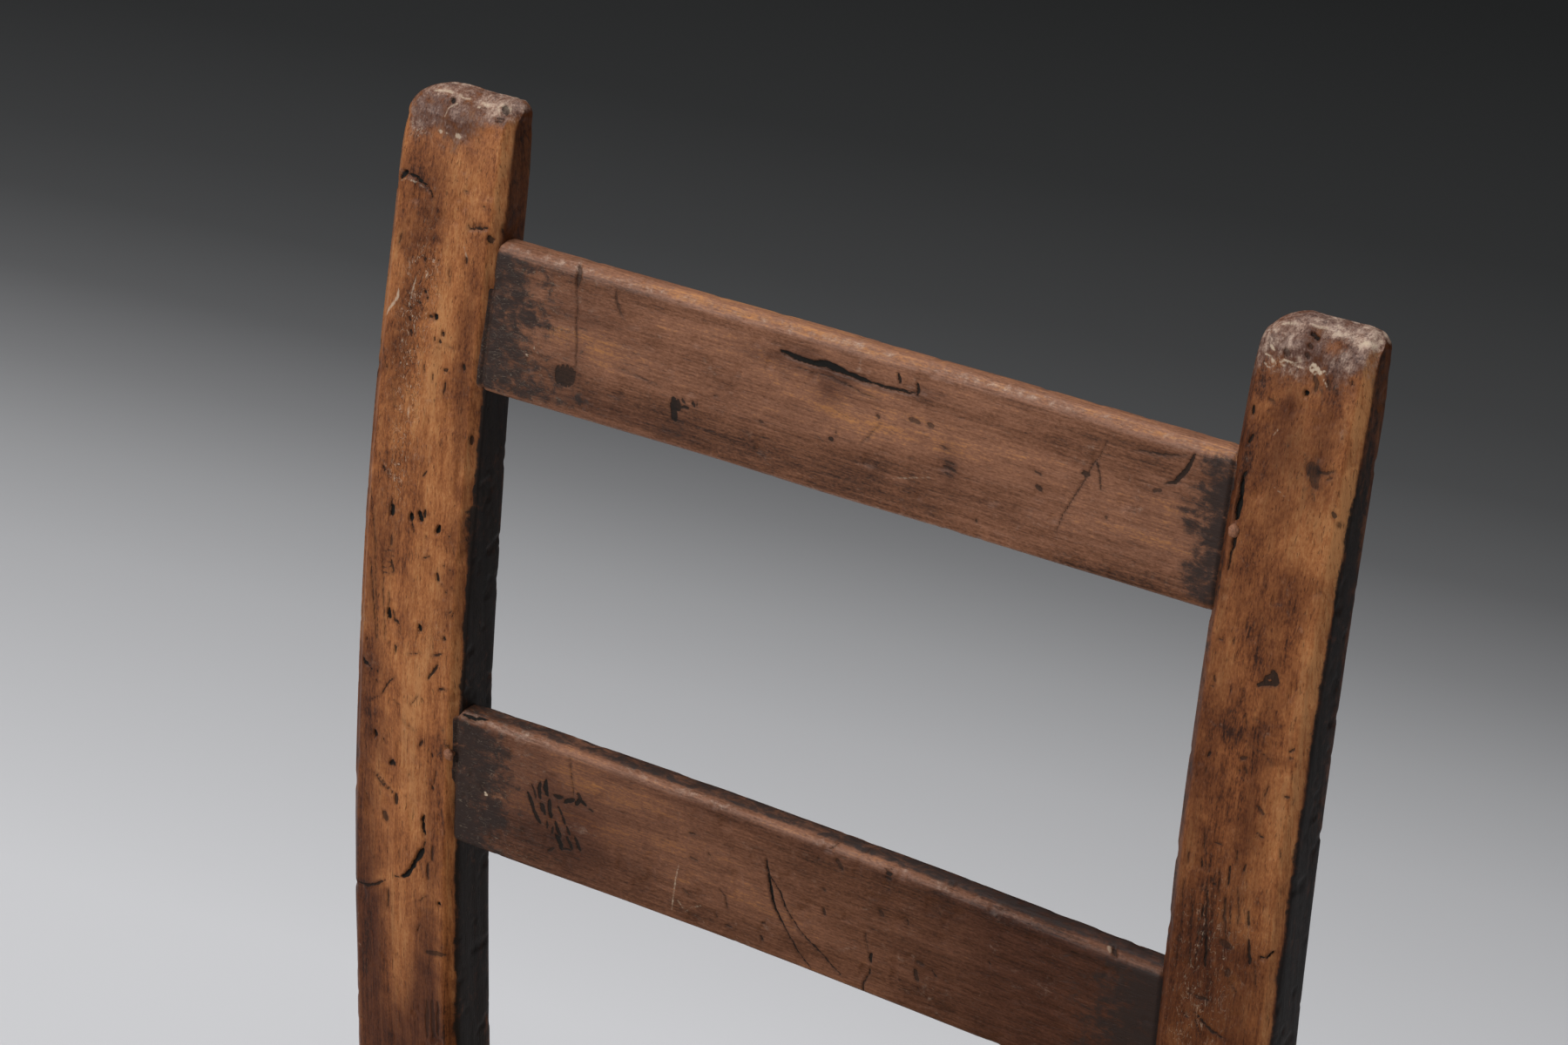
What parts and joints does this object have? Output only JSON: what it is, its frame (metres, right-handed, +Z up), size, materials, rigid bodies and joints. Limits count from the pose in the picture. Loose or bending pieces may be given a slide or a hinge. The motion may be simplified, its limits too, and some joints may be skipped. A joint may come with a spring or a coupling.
{
  "type": "ladder-back side chair",
  "caption": "Rustic ladder-back side chair with bent rectangular back posts, flat slats, square front legs, stretchers and a woven cord seat.",
  "frame": {"origin": "on the floor, at the middle of the chair's footprint box", "axes": "+Z up, +Y towards the back, +X to the right when the chair is seen from the front"},
  "size_m": [0.424, 0.4169, 0.8502],
  "materials": {
    "post_wood": "worn orange-brown wood with a waxed sheen and dark stained sides",
    "slat_wood": "darker red-brown wood, satin, stained at the ends",
    "rail_wood": "worn brown wood, satin",
    "nail_iron": "rusted iron",
    "seat_cord": "twisted natural fibre cord, aged straw colour",
    "straw_stuffing": "packed dry straw"
  },
  "bodies": {
    "root": {"back_post_left": "post_wood", "back_post_right": "post_wood", "front_leg_left": "post_wood", "front_leg_right": "post_wood", "upper_slat": "slat_wood", "lower_slat": "slat_wood", "slat_nails": "nail_iron", "seat_rail_front": "rail_wood", "seat_rail_rear": "rail_wood", "seat_rail_left": "rail_wood", "seat_rail_right": "rail_wood", "stretcher_front_lower": "rail_wood", "stretcher_front_upper": "rail_wood", "stretcher_rear": "rail_wood", "stretcher_left_lower": "rail_wood", "stretcher_left_upper": "rail_wood", "stretcher_right_lower": "rail_wood", "stretcher_right_upper": "rail_wood", "seat_stuffing": "straw_stuffing", "weave_front": "seat_cord", "weave_rear": "seat_cord", "weave_left": "seat_cord", "weave_right": "seat_cord"}
  },
  "joints": []
}
